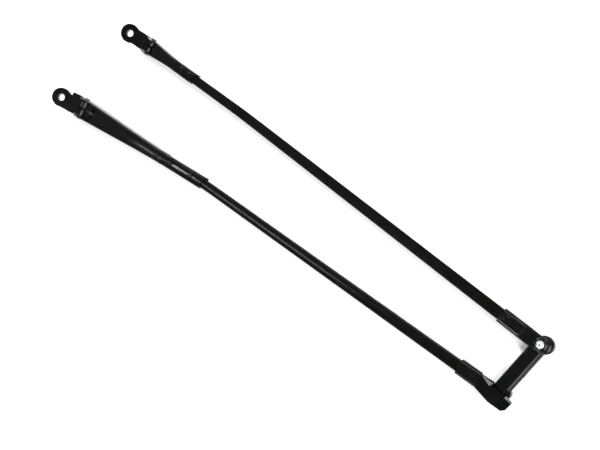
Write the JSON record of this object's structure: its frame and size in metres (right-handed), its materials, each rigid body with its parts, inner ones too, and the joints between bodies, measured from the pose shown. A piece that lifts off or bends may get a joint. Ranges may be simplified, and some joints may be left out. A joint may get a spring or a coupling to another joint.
{
  "type": "windshield wiper arm pair",
  "caption": "Pantograph wiper arms: a sprung drive arm and an idler arm with hinged spindle heads, joined at the tips by a pivoting cross link.",
  "frame": {"origin": "under the middle of the whole assembly, on the surface that it lies on", "axes": "+X from the drive head to the tip along the drive rod, +Y towards the idler arm, +Z away from the glass"},
  "size_m": [0.7798, 0.1656, 0.0373],
  "materials": {
    "black_paint": "satin to gloss black coating over pressed steel",
    "bright_steel": "bright domed rivet",
    "zinc_steel": "darkened zinc plate",
    "nylon": "blue-black moulded bearing plastic"
  },
  "bodies": {
    "drive_head": {"drive_head": "black_paint", "drive_anchor_pin": "zinc_steel"},
    "drive_hook": {"drive_spring_hook": "zinc_steel"},
    "drive_arm": {"drive_channel": "black_paint", "drive_channel_rivet_1": "black_paint", "drive_hinge_pin": "black_paint", "drive_pivot_pin": "black_paint", "drive_rod": "black_paint", "drive_rod_socket": "black_paint", "drive_sleeve_rivet_1": "black_paint", "drive_sleeve_rivet_2": "black_paint", "drive_socket_rivet_1": "black_paint", "drive_socket_rivet_2": "black_paint", "drive_spring": "zinc_steel", "drive_spring_peg": "black_paint", "drive_tip_bracket": "black_paint", "drive_tip_sleeve": "black_paint"},
    "tip_link": {"tip_link": "black_paint", "drive_pivot_bush": "nylon", "idler_pivot_bush": "nylon", "drive_pivot_washer": "zinc_steel", "idler_pivot_washer": "zinc_steel"},
    "idler_arm": {"idler_channel": "black_paint", "idler_channel_rivet_1": "black_paint", "idler_channel_rivet_2": "black_paint", "idler_hinge_pin": "black_paint", "idler_pivot_pin": "bright_steel", "idler_rod": "black_paint", "idler_sleeve_rivet": "black_paint", "idler_spring": "zinc_steel", "idler_spring_peg": "black_paint", "idler_tip_sleeve": "black_paint"},
    "idler_head": {"idler_head": "black_paint", "idler_anchor_pin": "zinc_steel"},
    "idler_hook": {"idler_spring_hook": "zinc_steel"}
  },
  "joints": [
    {"name": "drive_lift", "type": "hinge", "parent": "drive_head", "child": "drive_arm", "pos_m": [-0.34422, -0.0657, 0.009], "axis": [0.0532, -0.9986, 0], "range_deg": [0, 65], "stiffness_Nm_per_rad": 2, "springref_deg": -28.65, "deforming": ["drive_spring"]},
    {"name": "drive_hook_swing", "type": "hinge", "parent": "drive_head", "child": "drive_hook", "pos_m": [-0.33623, -0.06527, 0.0055], "axis": [0.0532, -0.9986, 0], "range_deg": [0, 65]},
    {"name": "drive_tip_pivot", "type": "hinge", "parent": "drive_arm", "child": "tip_link", "pos_m": [0.36938, -0.0555, 0.0147], "axis": [0, 0, 1], "range_deg": [-40, 40]},
    {"name": "idler_tip_pivot", "type": "hinge", "parent": "tip_link", "child": "idler_arm", "pos_m": [0.37814, 0.00992, 0.0147], "axis": [0, 0, 1], "range_deg": [-40, 40]},
    {"name": "idler_lift", "type": "hinge", "parent": "idler_arm", "child": "idler_head", "pos_m": [-0.27933, 0.06705, 0.009], "axis": [0.0698, 0.9976, 0], "range_deg": [0, 65], "stiffness_Nm_per_rad": 1.2, "springref_deg": -28.65, "deforming": ["idler_spring"]},
    {"name": "idler_hook_swing", "type": "hinge", "parent": "idler_head", "child": "idler_hook", "pos_m": [-0.27135, 0.06649, 0.0055], "axis": [-0.0698, -0.9976, 0], "range_deg": [0, 65]}
  ],
  "couplings": [
    {"joint": "drive_hook_swing", "follows": "drive_lift", "ratio": 1},
    {"joint": "idler_tip_pivot", "follows": "drive_tip_pivot", "ratio": -1},
    {"joint": "idler_lift", "follows": "drive_lift", "ratio": 1},
    {"joint": "idler_hook_swing", "follows": "drive_lift", "ratio": 1}
  ]
}
